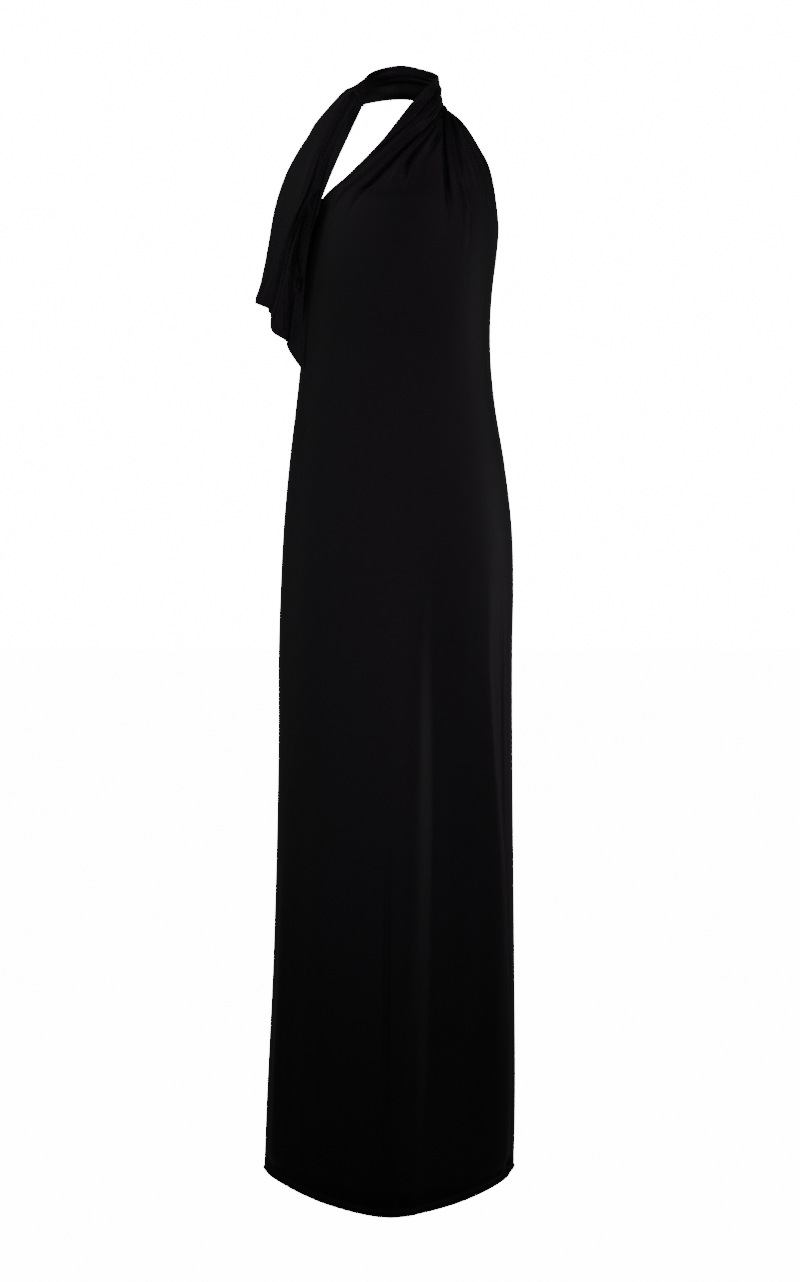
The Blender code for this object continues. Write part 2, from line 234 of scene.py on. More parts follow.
# %% [markdown]
# ## From a grid of points to cloth
# A sheet is an open surface through a grid of points, and Solidify gives it the cloth's
# thickness, half to each side. Its UV map is in metres of cloth, measured from the middle thread,
# so the knit follows the cloth and keeps its size where the panel narrows to a gathered strip.

# %% Making a sheet
def cloth(name, grid, material):
    """A sheet of cloth through a grid of points: rows go up the cloth and columns across it."""
    rows, columns = grid.shape[:2]
    corner = np.arange(rows * columns).reshape(rows, columns)
    faces = np.stack(
        [corner[:-1, :-1], corner[:-1, 1:], corner[1:, 1:], corner[1:, :-1]], axis=-1
    ).reshape(-1, 4)
    mesh = bpy.data.meshes.new(name)
    mesh.from_pydata(grid.reshape(-1, 3).tolist(), [], faces.tolist())
    across = np.pad(np.cumsum(np.linalg.norm(np.diff(grid, axis=1), axis=-1), axis=1), ((0, 0), (1, 0)))
    across -= across[:, columns // 2, None]
    steps = np.linalg.norm(np.diff(grid, axis=0), axis=-1).mean(axis=1)
    up = np.concatenate([[0.0], np.cumsum(steps)])
    uv = np.stack([across, np.broadcast_to(up[:, None], across.shape)], axis=-1)
    layer = mesh.uv_layers.new(name="cloth_metres")
    layer.data.foreach_set("uv", uv.reshape(-1, 2)[faces.reshape(-1)].astype(np.float32).ravel())
    mesh.materials.append(material)
    mesh.shade_smooth()
    sheet = bpy.data.objects.new(name, mesh)
    bpy.context.scene.collection.objects.link(sheet)
    wall = sheet.modifiers.new("Wall", "SOLIDIFY")
    wall.thickness = WALL
    wall.offset = 0.0
    wall.use_even_offset = False
    print(name, rows, "x", columns, "points,", len(faces) * 4 + (rows + columns) * 4, "triangles,",
          "cloth", round(float(np.ptp(across, axis=1).max()), 3), "x", round(float(up[-1]), 3), "m")
    return sheet


# %% [markdown]
# ## The body of the dress
# The skirt and bodice are a tube that follows the figure: a table of sections gives its half
# width, middle and reach at each height, and a fullness that is 2 for an ellipse and less for
# the flatter, sharper-sided tube that a hanging skirt makes.

# %% The body's sections
# z, half width, middle in x, reach in front, reach behind, fullness
BODY_SECTIONS = (
    (-0.120, 0.1180, 0.0070, 0.097, 0.074, 2.10),
    (-0.150, 0.1243, 0.0070, 0.105, 0.082, 2.10),
    (-0.185, 0.1286, 0.0053, 0.111, 0.090, 2.10),
    (-0.225, 0.1296, 0.0011, 0.113, 0.094, 2.10),
    (-0.280, 0.1283, -0.0041, 0.107, 0.092, 2.10),
    (-0.350, 0.1301, -0.0069, 0.098, 0.087, 2.15),
    (-0.420, 0.1370, -0.0076, 0.099, 0.092, 2.20),
    (-0.510, 0.1500, -0.0056, 0.104, 0.108, 2.25),
    (-0.600, 0.1594, -0.0045, 0.108, 0.119, 2.25),
    (-0.680, 0.1628, -0.0056, 0.109, 0.118, 2.20),
    (-0.770, 0.1641, -0.0077, 0.110, 0.112, 2.10),
    (-0.900, 0.1652, -0.0078, 0.112, 0.110, 2.05),
    (-1.200, 0.1721, -0.0100, 0.120, 0.115, 1.95),
    (-1.424, 0.1794, -0.0145, 0.131, 0.122, 1.80),
    (-1.545, 0.1812, -0.0180, 0.135, 0.125, 1.75),
)
HEM_Z = -1.5195
HEM_DIP_FRONT = 0.026
HEM_DIP_BACK = 0.008
HEM_DIP_POWER = 2.6
HEM_DIP_ANGLE = 5.0
HEM_RISE_LEFT = 0.0015
SIDE_SEAM_Y = 0.0


def body_point(angle, z):
    """A point of the body. Angle 0 is the middle of the front and 90 the wearer's left side."""
    angle, z = np.broadcast_arrays(np.asarray(angle, float), np.asarray(z, float))
    half, middle, front, behind, fullness = (
        through(places(BODY_SECTIONS), column(BODY_SECTIONS, k), z) for k in range(1, 6)
    )
    turn = np.radians(angle)
    s, c = np.sin(turn), np.cos(turn)
    power = 2.0 / fullness
    reach = np.where(c >= 0, front, behind)
    x = middle + half * np.sign(s) * np.abs(s) ** power
    y = -reach * np.sign(c) * np.abs(c) ** power
    return np.stack([x, y, z], axis=-1)


def hem_z(angle):
    """The height of the hem, which dips at the middle of the front and back."""
    c = np.cos(np.radians(angle - HEM_DIP_ANGLE))
    dip = np.where(c >= 0, HEM_DIP_FRONT, HEM_DIP_BACK)
    return HEM_Z - dip * np.abs(c) ** HEM_DIP_POWER + HEM_RISE_LEFT * np.sin(np.radians(angle))


# %% [markdown]
# ## The ring round the neck and the front's threads
# The front panel narrows to a strip that turns over the left shoulder line and joins the band
# behind the neck. Threads run from the hem up to that strip. The table says where each thread
# lies along the bust and where it lands on the strip, and the chest sections carry it between.

# %% The neck ring and the fan of threads
RING_HALF_WIDTH = 0.0550
RING_HALF_DEPTH = 0.0590
RING_FLARE = 0.007
# angle round the neck, middle height, height of the strip
RING_SECTIONS = (
    (100.0, 0.003, 0.040),
    (140.0, 0.013, 0.044),
    (180.0, 0.020, 0.046),
    (225.0, 0.012, 0.043),
    (253.0, 0.002, 0.038),
)
LEFT_SEAM_ANGLE = 100.0
RIGHT_SEAM_ANGLE = 253.0
BAND_TUCK = 1.2
RIGHT_SEAM_TOP_Z = -0.240
LEFT_SEAM_TOP_Z = -0.182
CORNER_ANGLE = -66.0
CORNER_Z = -0.148
FAN_START_Z = -0.42
DIP_END_Z = -1.00
BUST_Z = -0.200
# thread, place along the bust row, place down the strip at the side of the neck
THREADS = (
    (0.00, 0.00, 0.00),
    (0.20, 0.10, 0.34),
    (0.42, 0.27, 0.74),
    (0.62, 0.55, 0.86),
    (0.82, 0.77, 0.93),
    (1.00, 1.00, 1.00),
)
# place along the panel, then the six threads' points in millimetres
CHEST_SECTIONS = (
    (
        0.24, (-67, -68, -113), (-31, -88, -126), (12, -100, -136),
        (58, -98, -132), (89, -80, -124), (121, -36, -110),
    ),
    (
        0.44, (-28, -78, -75), (3, -87, -86), (25, -91, -94),
        (56, -83, -87), (78, -66, -81), (103, -36, -74),
    ),
    (
        0.62, (1, -74, -39), (28, -79, -51), (40, -75, -56),
        (56, -64, -52), (68, -51, -49), (84, -30, -45),
    ),
    (
        0.76, (20, -59, -14), (44, -54, -25), (52, -48, -31),
        (57, -40, -32), (62, -33, -32), (67, -22, -29),
    ),
    (
        0.87, (42, -38, 9), (51, -27, -3), (56, -22, -16),
        (57, -20, -19), (59, -18, -21), (60, -14, -22),
    ),
)
ROWS_BELOW_FAN = (-0.14, 0.0)
GUIDE_ROW_Z = (-0.225, BUST_Z)


def ring_point(angle, down):
    """A point of the strip round the neck. down is 0 at its top edge and 1 at its lower edge."""
    angle, down = np.broadcast_arrays(np.asarray(angle, float), np.asarray(down, float))
    middle, height = (through(places(RING_SECTIONS), column(RING_SECTIONS, k), angle) for k in (1, 2))
    turn = np.radians(angle)
    grow = RING_FLARE * (down - 0.5)
    x = (RING_HALF_WIDTH + grow) * np.sin(turn)
    y = -(RING_HALF_DEPTH + grow) * np.cos(turn)
    return np.stack([x, y, middle + height * (0.5 - down)], axis=-1)


def right_edge_angle(z):
    """The front panel's right edge: the side seam, then the armhole up to the neckline's corner."""
    return -90.0 + (CORNER_ANGLE + 90.0) * eased(RIGHT_SEAM_TOP_Z, CORNER_Z, z)


def front_row(z, thread, on_bust):
    """One row of the front panel below the fan, as points from its right side to its left."""
    bust_z = CORNER_Z + (LEFT_SEAM_TOP_Z - CORNER_Z) * eased(0.0, 1.0, on_bust)
    rise = eased(FAN_START_Z, BUST_Z, z)
    row_z = z + (bust_z - BUST_Z) * rise
    edge = right_edge_angle(row_z[0])
    plain_angle = -90.0 + 180.0 * thread
    fan_angle = edge + (90.0 - edge) * on_bust
    angle = plain_angle + (fan_angle - plain_angle) * rise
    row_z = row_z + (hem_z(angle) - HEM_Z) * (1.0 - eased(HEM_Z, DIP_END_Z, z))
    row = body_point(angle, row_z)
    row[:, 1] = np.minimum(row[:, 1], -SIDE_SEAM_Y)
    return row


# %% [markdown]
# ## Folds of the front
# The folds are placed where the cloth really breaks. A path gives a fold's thread at
# each place up the panel, where 0 is the bust and 1 the neck, and a place below 0 is metres below
# the bust. Pinched folds make the rolls that stack at the side of the neck. Soft ones are the
# long quiet ridges of the skirt, which wander a little, because the jersey hangs from the hips.

# %% The front's crease table
# height in mm (a valley is negative), reach to the right side and to the left side in mm,
# profile, fade at its ends, path of (place, thread)
FRONT_CREASES = (
    # Rolls of the neck strip and the strap, from the neckline outwards.
    (-4.2, 6.0, 7.0, pinched, 0.10,
     ((0.34, 0.030), (0.46, 0.050), (0.55, 0.080), (0.64, 0.110), (0.72, 0.120), (0.84, 0.150), (1.05, 0.150))),
    (3.0, 9.0, 9.0, soft, 0.16,
     ((-0.04, 0.120), (0.05, 0.130), (0.14, 0.100), (0.22, 0.072), (0.32, 0.078), (0.41, 0.095),
      (0.52, 0.118), (0.60, 0.160), (0.80, 0.210), (1.05, 0.210))),
    (-4.0, 4.0, 7.0, pinched, 0.08, ((0.62, 0.180), (0.71, 0.210), (0.79, 0.240), (0.94, 0.330), (1.05, 0.33))),
    (-8.5, 7.0, 15.0, pinched, 0.22,
     ((-0.03, 0.335), (0.056, 0.285), (0.12, 0.235), (0.189, 0.187), (0.267, 0.165), (0.356, 0.173),
      (0.444, 0.193), (0.533, 0.235), (0.60, 0.300), (0.68, 0.390), (0.80, 0.500), (0.90, 0.540), (1.05, 0.54))),
    (2.6, 12.0, 9.0, soft, 0.14, ((0.20, 0.290), (0.36, 0.265), (0.46, 0.280), (0.55, 0.330), (0.66, 0.430))),
    (-6.0, 8.0, 14.0, pinched, 0.26,
     ((0.16, 0.400), (0.23, 0.365), (0.30, 0.335), (0.38, 0.320), (0.46, 0.345), (0.556, 0.410),
      (0.61, 0.450), (0.667, 0.500), (0.76, 0.640), (0.86, 0.715), (1.05, 0.72))),
    (-1.6, 18.0, 18.0, soft, 0.30, ((0.16, 0.480), (0.24, 0.440), (0.40, 0.445), (0.56, 0.500))),
    (-4.6, 14.0, 10.0, soft, 0.14, ((0.42, 0.48), (0.50, 0.53), (0.56, 0.57), (0.66, 0.60))),
    (-8.0, 14.0, 7.0, pinched, 0.26,
     ((-0.06, 0.655), (0.15, 0.652), (0.28, 0.648), (0.41, 0.652), (0.53, 0.660), (0.70, 0.676),
      (0.86, 0.690), (1.05, 0.69))),
    (5.2, 7.0, 7.0, soft, 0.22,
     ((-0.06, 0.742), (0.17, 0.747), (0.30, 0.745), (0.41, 0.735), (0.56, 0.742), (0.73, 0.745), (1.05, 0.80))),
    (-4.4, 5.0, 13.0, pinched, 0.18,
     ((-0.06, 0.760), (0.07, 0.772), (0.16, 0.787), (0.24, 0.795), (0.34, 0.797), (0.45, 0.800), (0.60, 0.805),
      (0.90, 0.86))),
    (3.4, 10.0, 10.0, soft, 0.20,
     ((0.04, 0.850), (0.16, 0.867), (0.26, 0.882), (0.38, 0.880), (0.50, 0.865), (0.69, 0.887), (0.95, 0.90))),
    (-2.8, 9.0, 9.0, soft, 0.20, ((0.05, 0.930), (0.25, 0.945), (0.45, 0.940), (0.65, 0.945), (0.95, 0.95))),
    # Long folds of the skirt: a tent with a sharp shoulder, a dark trough and a second fold.
    (8.5, 80.0, 26.0, soft, 0.45,
     ((-1.42, 0.494), (-1.31, 0.497), (-1.20, 0.505), (-1.06, 0.518), (-0.92, 0.528), (-0.78, 0.532), (-0.40, 0.530))),
    (-14.5, 44.0, 78.0, hollow, 0.55,
     ((-1.42, 0.628), (-1.20, 0.632), (-1.00, 0.640), (-0.80, 0.645), (-0.60, 0.640), (-0.30, 0.620))),
    (6.0, 30.0, 26.0, soft, 0.40, ((-1.42, 0.494), (-1.20, 0.500), (-1.00, 0.510))),
    (-13.0, 24.0, 62.0, soft, 0.35, ((-1.42, 0.612), (-1.20, 0.615), (-1.00, 0.622), (-0.90, 0.630))),
    (14.0, 76.0, 20.0, soft, 0.34,
     ((-1.42, 0.872), (-1.30, 0.866), (-1.20, 0.852), (-1.12, 0.842), (-1.00, 0.830), (-0.88, 0.815),
      (-0.70, 0.785), (-0.40, 0.760))),
    (-4.0, 8.0, 10.0, soft, 0.25, ((-0.98, 0.880), (-0.82, 0.862), (-0.60, 0.850), (-0.40, 0.845))),
    (-5.0, 3.5, 14.0, pinched, 0.16,
     ((-1.37, 0.484), (-1.20, 0.482), (-1.00, 0.478), (-0.80, 0.480))),
    (3.0, 24.0, 24.0, soft, 0.35, ((-1.42, 0.310), (-1.10, 0.305), (-0.80, 0.310), (-0.55, 0.320))),
    (-2.6, 26.0, 26.0, soft, 0.35, ((-1.42, 0.200), (-1.10, 0.205), (-0.80, 0.215), (-0.55, 0.225))),
    (2.4, 16.0, 16.0, soft, 0.30, ((-1.42, 0.115), (-1.10, 0.120), (-0.75, 0.135))),
)
HEM_SOFTENING = 0.06
HEM_SOFTENING_FROM = -1.24
HEM_ALLOWANCE = 0.0090
HEM_STEP = 0.0005
HEM_DRAG = 0.0056
HEM_LIP = 0.0020

# %% [markdown]
# ## The hem and the turned edges
# The hem is turned up 9 mm inside and held by two rows of stitches. The doubled cloth stands a
# little proud, the stitches draw a shallow groove above it, and the jersey puckers here and there.

# %% Relief of a turned edge
def turned_edge(distance, allowance, step):
    """The relief of cloth turned under at an edge: a raised band and a groove where it is sewn."""
    raised = step * (1.0 - eased(allowance - 0.0012, allowance + 0.0004, distance))
    groove = -0.6 * step * soft(np.clip(np.abs(distance - allowance - 0.0006) / 0.0016, 0.0, 1.0))
    return raised + groove


def hem_roll(distance):
    """The drag of a hem: the cloth draws in above it and turns out again at the edge."""
    away = np.where(distance < 0.006, (0.006 - distance) / 0.006, (distance - 0.006) / 0.026)
    drawn_in = -HEM_DRAG * soft(np.clip(away, 0.0, 1.0))
    return drawn_in + HEM_LIP * (1.0 - eased(0.0, 0.0040, distance))


def puckers(distance, place, table):
    """Short tucks just above a row of stitches. Each has a place, half width, height and reach."""
    total = np.zeros(np.broadcast(distance, place).shape)
    for middle, half, height, reach in table:
        beyond = np.clip((distance - HEM_ALLOWANCE) / reach, 0.0, 1.0)
        share = np.where(distance > HEM_ALLOWANCE, 1.0 - beyond, 1.0) * eased(0.0, HEM_ALLOWANCE, distance)
        total += height * share * soft(np.clip(np.abs(place - middle) / half, 0.0, 1.0))
    return total


# thread, half width in threads, height, how far up the cloth it reaches
FRONT_PUCKERS = (
    (0.175, 0.014, -0.0012, 0.020),
    (0.205, 0.012, 0.0010, 0.016),
    (0.480, 0.010, -0.0014, 0.026),
    (0.505, 0.011, 0.0012, 0.018),
    (0.545, 0.010, -0.0012, 0.014),
    (0.860, 0.014, 0.0014, 0.030),
    (0.900, 0.014, -0.0014, 0.024),
    (0.335, 0.010, 0.0006, 0.012),
    (0.700, 0.012, -0.0007, 0.014),
    # The corners at the side seams flare a little.
    (0.050, 0.030, 0.0034, 0.016),
    (0.945, 0.034, 0.0050, 0.018),
)

# %% [markdown]
# ## The front panel
# The rows below the bust follow the body, and the rows above it fan up to the neck strip. The
# creases are added along the cloth's own normal, so they never change where its edges run.

# %% Build the front panel
FRONT_COLUMNS = 150
HEM_ROWS = 12
SKIRT_ROWS = 196
FAN_ROWS = 90
# The rows of the body and the fan meet at the bust, and this many passes ease the join.
JOIN_PASSES = 90
JOIN_EASING = 0.8


def distance_from_edge(grid, first, axis):
    """How far each point lies from the grid's first or last row or column, along the cloth."""
    steps = np.linalg.norm(np.diff(grid, axis=axis), axis=-1)
    pad = [(0, 0), (0, 0)]
    pad[axis] = (1, 0)
    length = np.pad(np.cumsum(steps, axis=axis), pad)
    if first:
        return length
    return np.take(length, [-1], axis=axis) - length


def front_grid():
    """The front panel's points, and for each the place up the panel and the thread."""
    thread = np.linspace(0.0, 1.0, FRONT_COLUMNS + 1)
    on_bust, on_neck = (through(places(THREADS), column(THREADS, k), thread) for k in (1, 2))
    near_hem = np.linspace(HEM_Z, HEM_Z + 0.022, HEM_ROWS + 1)[:-1]
    z_rows = np.concatenate([near_hem, np.linspace(HEM_Z + 0.022, BUST_Z, SKIRT_ROWS + 1)])
    lower = np.array([front_row(z, thread, on_bust) for z in z_rows])

    chest = np.array([row[1:] for row in CHEST_SECTIONS], float) / 1000.0
    stations = [*ROWS_BELOW_FAN, *(row[0] for row in CHEST_SECTIONS), 1.0]
    end = ring_point(LEFT_SEAM_ANGLE, on_neck)
    across = np.empty((len(CHEST_SECTIONS), len(thread), 3))
    for i in range(len(CHEST_SECTIONS)):
        for k in range(3):
            across[i, :, k] = through(places(THREADS), chest[i, :, k], thread)
    below = np.array([front_row(z, thread, on_bust) for z in GUIDE_ROW_Z])
    guides = np.concatenate([below, across, [end]])
    fan = np.linspace(0.0, 1.0, FAN_ROWS + 1)[1:]
    upper = np.empty((FAN_ROWS, len(thread), 3))
    for j in range(len(thread)):
        for k in range(3):
            upper[:, j, k] = through(stations, guides[:, j, k], fan)
    grid = np.concatenate([lower, upper])
    place = np.concatenate([z_rows - BUST_Z, fan])[:, None]
    inside = eased(0.0, 0.07, thread) * eased(0.0, 0.07, 1.0 - thread)
    near_join = 1.0 - eased(0.0, 0.20, np.abs(place))
    share = JOIN_EASING * (near_join * inside[None, :])[1:-1, :, None]
    for _ in range(JOIN_PASSES):
        grid[1:-1] += share * ((grid[:-2] + grid[2:]) / 2.0 - grid[1:-1])
    return grid, place, thread[None, :]


def front_relief(grid, place, thread):
    """The front's folds, its hem and its turned neckline and armhole edges."""
    width = np.linalg.norm(np.gradient(grid, axis=1), axis=-1) * FRONT_COLUMNS
    relief = crease_relief(place, thread, width, FRONT_CREASES, 0.25)
    soften = HEM_SOFTENING * (1.0 - eased(HEM_Z - BUST_Z, HEM_SOFTENING_FROM, place))
    relief = relief * (1.0 - soften)
    from_hem = distance_from_edge(grid, True, 0)
    relief += turned_edge(from_hem, HEM_ALLOWANCE, HEM_STEP) + puckers(from_hem, thread, FRONT_PUCKERS)
    relief += hem_roll(from_hem)
    in_fan = eased(-0.06, 0.02, place)
    for first in (True, False):
        from_side = distance_from_edge(grid, first, 1)
        relief += in_fan * turned_edge(from_side, 0.0050, 0.0004)
        relief *= 1.0 - (1.0 - eased(0.0, 0.012, from_side)) * (1.0 - in_fan)
    return relief


front_base, front_place, front_thread = front_grid()
front_height = front_relief(front_base, front_place, front_thread)
front_points = front_base + outward(front_base) * front_height[..., None]
front_cloth = cloth("front_panel_cloth", front_points, front_jersey)
print("Front creases from", round(front_height.min() * 1000, 1), "to", round(front_height.max() * 1000, 1), "mm")

# %% [markdown]
# ## The back panel
# The back is one plain panel from the hem to a low scooped top edge. It hangs from the seat, so
# its folds start at the widest part of the hips and deepen towards the hem.

# %% Build the back panel
BACK_TOP_MID_Z = -0.330
BACK_SCOOP_POWER = 1.3
BACK_COLUMNS = 110
BACK_ROWS = 210
# as the front's creases: here the place is the height z, and thread 0 is the wearer's left side
BACK_CREASES = (
    (6.5, 30.0, 24.0, soft, 0.30, ((-1.60, 0.295), (-1.30, 0.300), (-1.00, 0.308), (-0.66, 0.312))),
    (-7.5, 26.0, 32.0, soft, 0.30, ((-1.60, 0.420), (-1.30, 0.424), (-1.00, 0.432), (-0.64, 0.436))),
    (7.0, 30.0, 22.0, soft, 0.30, ((-1.60, 0.572), (-1.30, 0.566), (-1.00, 0.558), (-0.64, 0.552))),
    (-6.0, 24.0, 32.0, soft, 0.30, ((-1.60, 0.718), (-1.30, 0.712), (-1.00, 0.704), (-0.68, 0.698))),
    (-4.5, 30.0, 26.0, soft, 0.30, ((-1.60, 0.160), (-1.30, 0.164), (-1.00, 0.172), (-0.72, 0.178))),
    (5.0, 24.0, 30.0, soft, 0.30, ((-1.60, 0.850), (-1.30, 0.844), (-1.00, 0.838), (-0.72, 0.834))),
    (-1.6, 8.0, 10.0, pinched, 0.25, ((-1.58, 0.350), (-1.30, 0.356), (-1.02, 0.366))),
    (-1.5, 9.0, 8.0, pinched, 0.25, ((-1.58, 0.655), (-1.28, 0.640), (-1.05, 0.632))),
    (1.6, 16.0, 16.0, soft, 0.06, ((-0.470, 0.30), (-0.440, 0.34), (-0.410, 0.40))),
    (1.6, 16.0, 16.0, soft, 0.06, ((-0.475, 0.68), (-0.445, 0.64), (-0.415, 0.58))),
)
BACK_PUCKERS = (
    (0.120, 0.014, 0.0011, 0.018),
    (0.315, 0.012, -0.0012, 0.022),
    (0.520, 0.012, 0.0010, 0.016),
    (0.745, 0.014, -0.0012, 0.024),
    (0.910, 0.012, 0.0009, 0.016),
)


def back_grid():
    """The back panel's points, and for each its height and thread."""
    angle = np.linspace(90.0, 270.0, BACK_COLUMNS + 1)
    across = np.linspace(0.0, 1.0, BACK_COLUMNS + 1)
    side_z = LEFT_SEAM_TOP_Z + (RIGHT_SEAM_TOP_Z - LEFT_SEAM_TOP_Z) * across
    scoop = np.sin(np.pi * across) ** BACK_SCOOP_POWER
    top_z = side_z + (BACK_TOP_MID_Z - side_z) * scoop
    near_hem = np.linspace(0.0, 0.018, 11)[:-1]
    near_top = np.linspace(0.988, 1.0, 8)[1:]
    shares = np.concatenate([near_hem, np.linspace(0.018, 0.988, BACK_ROWS - 16), near_top])
    rows = []
    for share in shares:
        row = body_point(angle, hem_z(angle) * (1 - share) + top_z * share)
        row[:, 1] = np.maximum(row[:, 1], SIDE_SEAM_Y)
        rows.append(row)
    return np.array(rows), across[None, :]


def back_relief(grid, thread):
    """The back's folds, its hem and its turned top edge."""
    width = np.linalg.norm(np.gradient(grid, axis=1), axis=-1) * BACK_COLUMNS
    relief = crease_relief(grid[..., 2], thread, width, BACK_CREASES)
    relief = relief * (1.0 - 0.5 * (1.0 - eased(HEM_Z, -1.40, grid[..., 2])))
    from_hem = distance_from_edge(grid, True, 0)
    relief += turned_edge(from_hem, HEM_ALLOWANCE, HEM_STEP) + puckers(from_hem, thread, BACK_PUCKERS)
    relief += hem_roll(from_hem)
    relief += turned_edge(distance_from_edge(grid, False, 0), 0.0060, 0.0004)
    for first in (True, False):
        relief *= eased(0.0, 0.012, distance_from_edge(grid, first, 1))
    return relief


back_base, back_thread = back_grid()
back_points = back_base + outward(back_base) * back_relief(back_base, back_thread)[..., None]
back_cloth = cloth("back_panel_cloth", back_points, back_jersey)

# %% [markdown]
# ## The band behind the neck
# A strip of the same jersey, folded lengthwise, joins the front's gathered end to the cape. It is
# seen from inside through the neck opening, where one long groove and two short ones show.

# %% Build the neck band
BAND_COLUMNS = 100
BAND_ROWS = 60
# as the front's creases: here the place is the angle round the neck, and thread is the place
# down the strip; a ridge outside is a groove inside
BAND_CREASES = (
    (2.4, 6.0, 5.0, pinched, 18.0, ((100.0, 0.50), (140.0, 0.50), (180.0, 0.53), (225.0, 0.56), (253.0, 0.56))),
    (1.5, 4.0, 4.0, pinched, 16.0, ((96.0, 0.34), (120.0, 0.35), (150.0, 0.33), (172.0, 0.31))),
    (1.2, 3.5, 3.5, pinched, 12.0, ((96.0, 0.20), (115.0, 0.22), (140.0, 0.20))),
    (-1.3, 8.0, 8.0, soft, 20.0, ((96.0, 0.76), (150.0, 0.78), (200.0, 0.80), (256.0, 0.78))),
    (-1.0, 6.0, 6.0, soft, 25.0, ((150.0, 0.22), (200.0, 0.26), (256.0, 0.30))),
    (1.5, 4.5, 4.5, pinched, 14.0, ((222.0, 0.24), (240.0, 0.28), (257.0, 0.32))),
)


def band_grid():
    """The band's points, with rows up the strip and columns from its left end to its right end."""
    angle = np.linspace(LEFT_SEAM_ANGLE - BAND_TUCK, RIGHT_SEAM_ANGLE, BAND_COLUMNS + 1)
    down = np.linspace(1.0, 0.0, BAND_ROWS + 1)
    down, angle = np.meshgrid(down, angle, indexing="ij")
    return ring_point(angle, down), angle, down


band_base, band_angle, band_down = band_grid()
band_depth = np.linalg.norm(band_base[0] - band_base[-1], axis=-1)[None, :]
band_height = crease_relief(band_angle, band_down, band_depth, BAND_CREASES)
band_points = band_base + outward(band_base) * band_height[..., None]
band_cloth = cloth("neck_band_cloth", band_points, band_jersey)

# %% [markdown]
# ## The shoulder cape
# A deep piece hangs from the band over the right shoulder to a free hem. Its front falls in
# three overlapping folds, so the hem climbs in steps, and its back spreads in softer ones.

# %% The cape's sections and creases
CAPE_COLUMNS = 236
CAPE_ROWS = 190
CAPE_ROW_CROWDING = 1.35
CAPE_COLUMN_CROWDING = 1.6
CAPE_GATHERS = 0.12
CAPE_THREADS = (0.0, 0.11, 0.20, 0.30, 0.37, 0.46, 0.72, 1.0)
CAPE_STATIONS = (0.0, 0.06, 0.14, 0.25, 0.38, 0.51, 0.65, 0.83, 1.0)
# eight threads' points in millimetres, from the neck to the hem
CAPE_SECTIONS = (
    (
        (-51, 3, -19), (-51, 3, -10), (-51, 3, -3), (-51, 4, 7),
        (-50.2, 6, 13.5), (-49.4, 11, 19.5), (-51.6, 15.4, 3), (-51.8, 15.4, -18),
    ),
    (
        (-52, -8, -13), (-55, -7, -9), (-56, -6, -5), (-59, -3, 1),
        (-60, 1, 4), (-64, 10, 9), (-66, 18, 1), (-60, 20, -15),
    ),
    (
        (-53, -24, -23), (-60, -24, -14), (-62, -25, -11), (-68, -23, -7),
        (-70, -19, -5), (-79, -2, -4), (-78, 28, -6), (-71, 44, -13),
    ),
    (
        (-67, -47, -56), (-79, -43, -54), (-87, -41, -55), (-95, -36, -55),
        (-101, -30, -54), (-118, -4, -51), (-109, 30, -49), (-88, 55, -49),
    ),
    (
        (-89, -55, -104), (-101, -50, -101), (-109, -49, -102), (-119, -44, -103),
        (-127, -38, -102), (-146, -6, -101), (-140, 45, -97), (-107, 80, -97),
    ),
    (
        (-108, -51, -151), (-120, -47, -151), (-128, -46, -152), (-137, -44, -152),
        (-143, -38, -152), (-162, -10, -149), (-155, 55, -149), (-112, 98, -146),
    ),
    (
        (-124, -40, -205), (-135, -39, -208), (-142, -41, -210), (-151, -42, -210),
        (-157, -34, -208), (-173, -10, -203), (-164, 62, -209), (-108, 112, -209),
    ),
    (
        (-132, -38, -279), (-144, -36, -276), (-152, -36, -273), (-163, -36, -270),
        (-170, -24, -264), (-185, -8, -250), (-170, 66, -264), (-108, 120, -276),
    ),
    (
        (-136, -40, -375), (-154, -30, -349), (-157, -32, -337), (-178, -32, -321),
        (-180, -18, -296), (-199, -6, -284), (-171, 68, -302), (-108, 122, -348),
    ),
)
